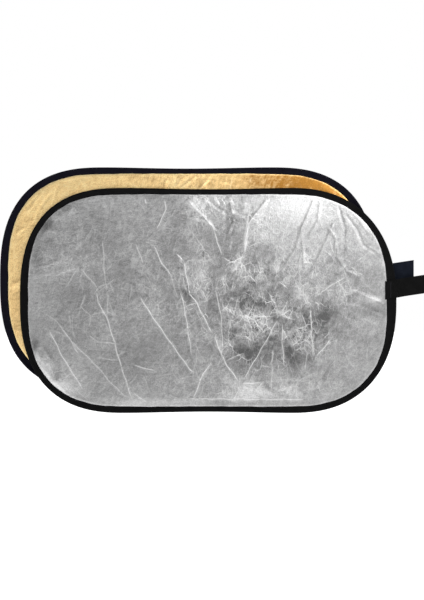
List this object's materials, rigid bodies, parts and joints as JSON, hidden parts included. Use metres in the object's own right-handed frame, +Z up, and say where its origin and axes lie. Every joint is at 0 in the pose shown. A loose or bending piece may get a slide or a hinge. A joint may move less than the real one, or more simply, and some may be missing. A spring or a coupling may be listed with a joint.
{
  "type": "collapsible reflector pair",
  "caption": "Flat rounded-rectangle collapsible reflectors with silver and gold cloth faces, spring-steel hoops, bound edges and webbing carry loops, one behind the other.",
  "frame": {"origin": "middle of the front panel's lower edge, on its mid-plane, where a reflector holder or a hand grips it", "axes": "+X to the right along the panels, towards the carry loops; +Y from the front face to the back; +Z up"},
  "size_m": [1.0397, 0.0224, 0.588],
  "materials": {
    "silver_cloth": "crinkled foil laminate, satin metallic",
    "gold_cloth": "foil laminate, satin metallic",
    "black_tape": "matte woven",
    "navy_tape": "matte woven",
    "spring_steel": "satin",
    "brass_sleeve": "satin",
    "thread": "matte"
  },
  "bodies": {
    "front_panel": {"front_binding_top": "black_tape", "front_binding_bottom": "black_tape", "front_hoop_top": "spring_steel", "front_hoop_bottom_left": "spring_steel", "front_hoop_bottom_right": "spring_steel", "front_hoop_sleeve": "brass_sleeve", "front_silver_cloth_middle": "silver_cloth", "front_gold_cloth_middle": "gold_cloth"},
    "front_left_wing": {"front_binding_left": "black_tape", "front_hoop_left": "spring_steel", "front_silver_cloth_left": "silver_cloth", "front_gold_cloth_left": "gold_cloth"},
    "front_right_wing": {"front_binding_right": "black_tape", "front_hoop_right": "spring_steel", "front_silver_cloth_right": "silver_cloth", "front_gold_cloth_right": "gold_cloth", "front_strap_anchor": "black_tape", "front_strap_tack_front": "thread", "front_strap_tack_back": "thread"},
    "front_strap": {"front_strap_loop": "black_tape"},
    "rear_panel": {"rear_binding_top": "navy_tape", "rear_binding_bottom": "navy_tape", "rear_hoop_top": "spring_steel", "rear_hoop_bottom_left": "spring_steel", "rear_hoop_bottom_right": "spring_steel", "rear_hoop_sleeve": "brass_sleeve", "rear_gold_cloth_middle": "gold_cloth", "rear_silver_cloth_middle": "silver_cloth"},
    "rear_left_wing": {"rear_binding_left": "navy_tape", "rear_hoop_left": "spring_steel", "rear_gold_cloth_left": "gold_cloth", "rear_silver_cloth_left": "silver_cloth"},
    "rear_right_wing": {"rear_binding_right": "navy_tape", "rear_hoop_right": "spring_steel", "rear_gold_cloth_right": "gold_cloth", "rear_silver_cloth_right": "silver_cloth", "rear_strap_anchor": "navy_tape", "rear_strap_tack_front": "thread", "rear_strap_tack_back": "thread"},
    "rear_strap": {"rear_strap_loop": "navy_tape"}
  },
  "joints": [
    {"name": "rear_panel_lift_away", "type": "slide", "parent": "front_panel", "child": "rear_panel", "axis": [0, 1, 0], "range_m": [0, 0.25]},
    {"name": "front_right_fold", "type": "hinge", "parent": "front_panel", "child": "front_right_wing", "pos_m": [0.2, -0.006, 0.266], "axis": [0, 0, -1], "range_deg": [0, 75], "stiffness_Nm_per_rad": 0.6},
    {"name": "front_left_fold", "type": "hinge", "parent": "front_panel", "child": "front_left_wing", "pos_m": [-0.2, -0.006, 0.266], "axis": [0, 0, 1], "range_deg": [0, 75], "stiffness_Nm_per_rad": 0.6},
    {"name": "rear_right_fold", "type": "hinge", "parent": "rear_panel", "child": "rear_right_wing", "pos_m": [0.1513, 0.017, 0.316], "axis": [0, 0, 1], "range_deg": [0, 75], "stiffness_Nm_per_rad": 0.6},
    {"name": "rear_left_fold", "type": "hinge", "parent": "rear_panel", "child": "rear_left_wing", "pos_m": [-0.2487, 0.017, 0.316], "axis": [0, 0, -1], "range_deg": [0, 75], "stiffness_Nm_per_rad": 0.6},
    {"name": "front_strap_swing", "type": "hinge", "parent": "front_right_wing", "child": "front_strap", "pos_m": [0.4536, 0, 0.295], "axis": [0, 0, -1], "range_deg": [0, 100], "stiffness_Nm_per_rad": 0.01},
    {"name": "rear_strap_swing", "type": "hinge", "parent": "rear_right_wing", "child": "rear_strap", "pos_m": [0.4049, 0.011, 0.3268], "axis": [0, 0, 1], "range_deg": [0, 100], "stiffness_Nm_per_rad": 0.01}
  ],
  "couplings": [
    {"joint": "front_left_fold", "follows": "front_right_fold", "ratio": 1},
    {"joint": "rear_left_fold", "follows": "rear_right_fold", "ratio": 1}
  ]
}
